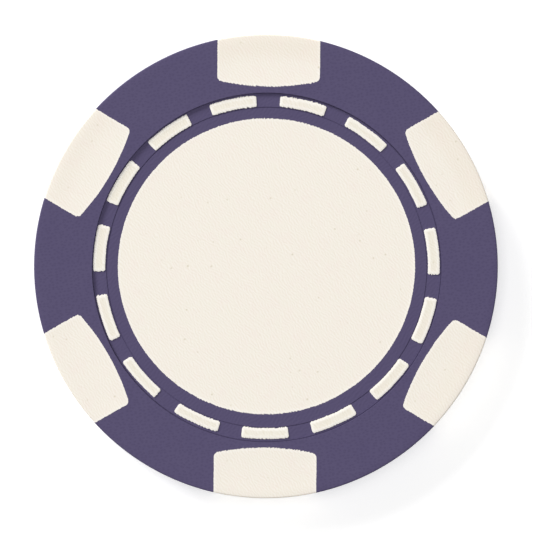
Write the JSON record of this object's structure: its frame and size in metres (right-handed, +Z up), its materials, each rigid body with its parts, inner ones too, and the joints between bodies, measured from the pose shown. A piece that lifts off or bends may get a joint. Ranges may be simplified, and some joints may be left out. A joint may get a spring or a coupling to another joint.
{
  "type": "casino chip",
  "caption": "Round weighted gaming chip: flat rim with cream edge spots, recessed face with a dashed ring and a plain centre inlay, made to stack and slide.",
  "frame": {"origin": "centre of the lower rim face, on the table that the chip lies on", "axes": "+Z up through the chip's axis from the back face to the front face; +Y through the middle of one edge spot, with a ring dash opposite it on -Y; both faces are alike"},
  "size_m": [0.039, 0.039, 0.0033],
  "materials": {
    "purple_composite": "matte",
    "cream_composite": "matte",
    "slug_steel": "satin"
  },
  "bodies": {
    "root": {"body": "purple_composite", "weight_slug": "slug_steel", "front_inlay": "cream_composite", "back_inlay": "cream_composite", "edge_spot_1": "cream_composite", "edge_spot_2": "cream_composite", "edge_spot_3": "cream_composite", "edge_spot_4": "cream_composite", "edge_spot_5": "cream_composite", "edge_spot_6": "cream_composite", "ring_dash_1": "cream_composite", "ring_dash_2": "cream_composite", "ring_dash_3": "cream_composite", "ring_dash_4": "cream_composite", "ring_dash_5": "cream_composite", "ring_dash_6": "cream_composite", "ring_dash_7": "cream_composite", "ring_dash_8": "cream_composite", "ring_dash_9": "cream_composite", "ring_dash_10": "cream_composite", "ring_dash_11": "cream_composite", "ring_dash_12": "cream_composite", "ring_dash_13": "cream_composite", "ring_dash_14": "cream_composite", "ring_dash_15": "cream_composite"}
  },
  "joints": []
}
